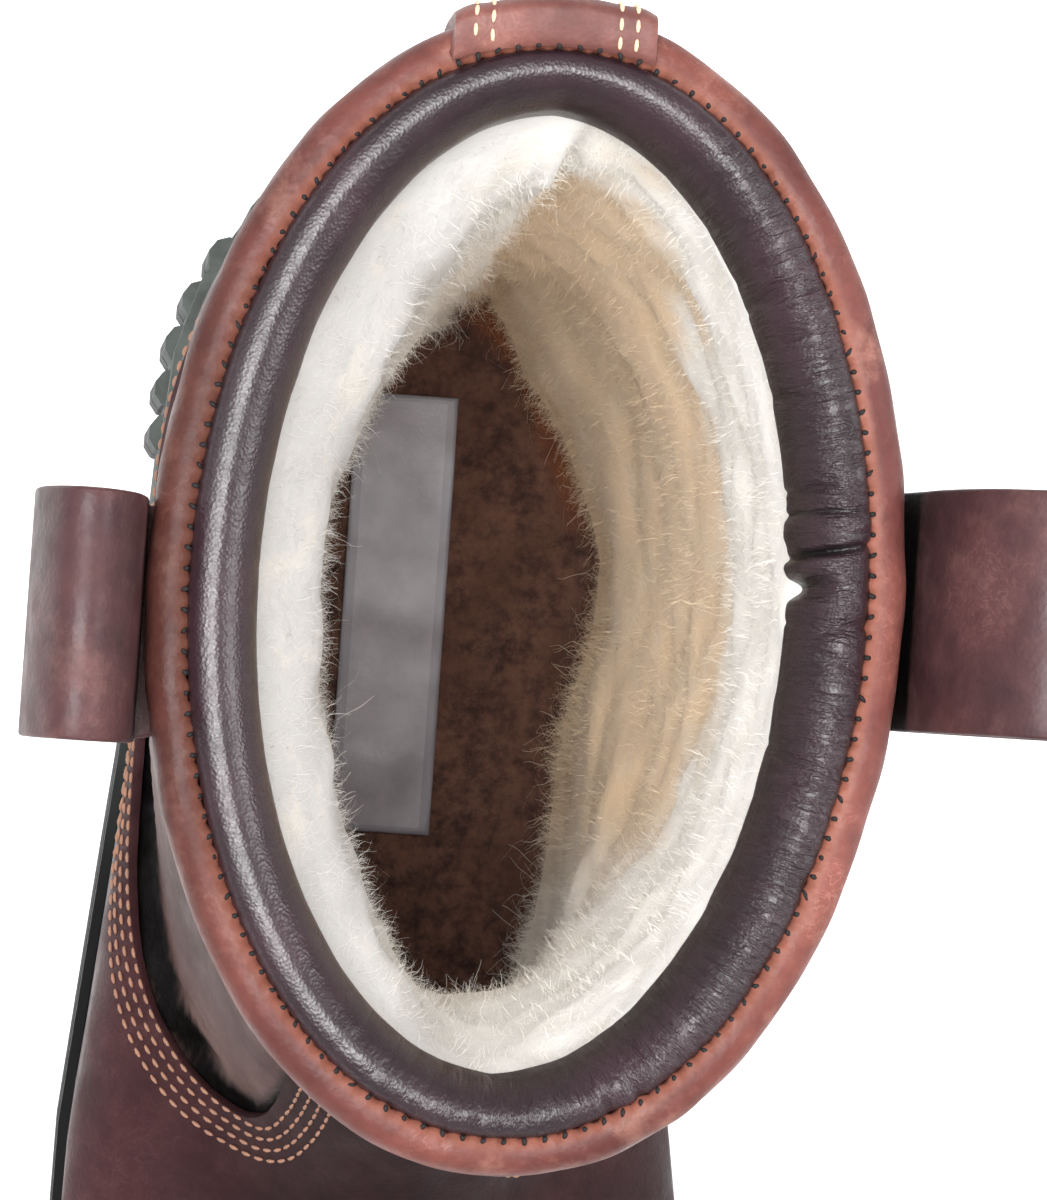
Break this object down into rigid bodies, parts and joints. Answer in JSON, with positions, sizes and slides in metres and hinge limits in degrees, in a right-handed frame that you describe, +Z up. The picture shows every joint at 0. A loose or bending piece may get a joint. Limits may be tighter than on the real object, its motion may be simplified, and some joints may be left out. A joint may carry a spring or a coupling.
{
  "type": "pull-on outdoor boot",
  "caption": "Pull-on leather boot for the right foot with a pile lining, padded collar, pull loops and a lugged sole.",
  "frame": {"origin": "on the ground under the centre of the heel, at the mount heel_rest", "axes": "+Y from toe to heel, +X to the inner side of the foot, +Z up"},
  "size_m": [0.148, 0.3128, 0.2879],
  "materials": {
    "sole_rubber": "matte black rubber tread",
    "sole_foam": "satin black moulded foam",
    "shaft_leather": "waxed grey-brown leather with a low sheen",
    "vamp_leather": "waxed dark brown leather, paler at its rubbed edges",
    "strap_leather": "thick red-brown strap leather",
    "edge_leather": "turned brown leather edge",
    "pad_leather": "soft dark aubergine leather with fine wrinkles",
    "pile_fabric": "cream woolly pile, tan in its depth",
    "insole_fabric": "brown fleece"
  },
  "bodies": {
    "root": {"outsole": "sole_rubber", "midsole": "sole_foam", "upper": "shaft_leather", "vamp": "vamp_leather", "back_stay": "strap_leather", "top_binding": "edge_leather", "collar_pad": "pad_leather", "fur_lining": "pile_fabric", "insole": "insole_fabric", "loop_lateral": "strap_leather", "loop_medial": "strap_leather"}
  },
  "joints": []
}
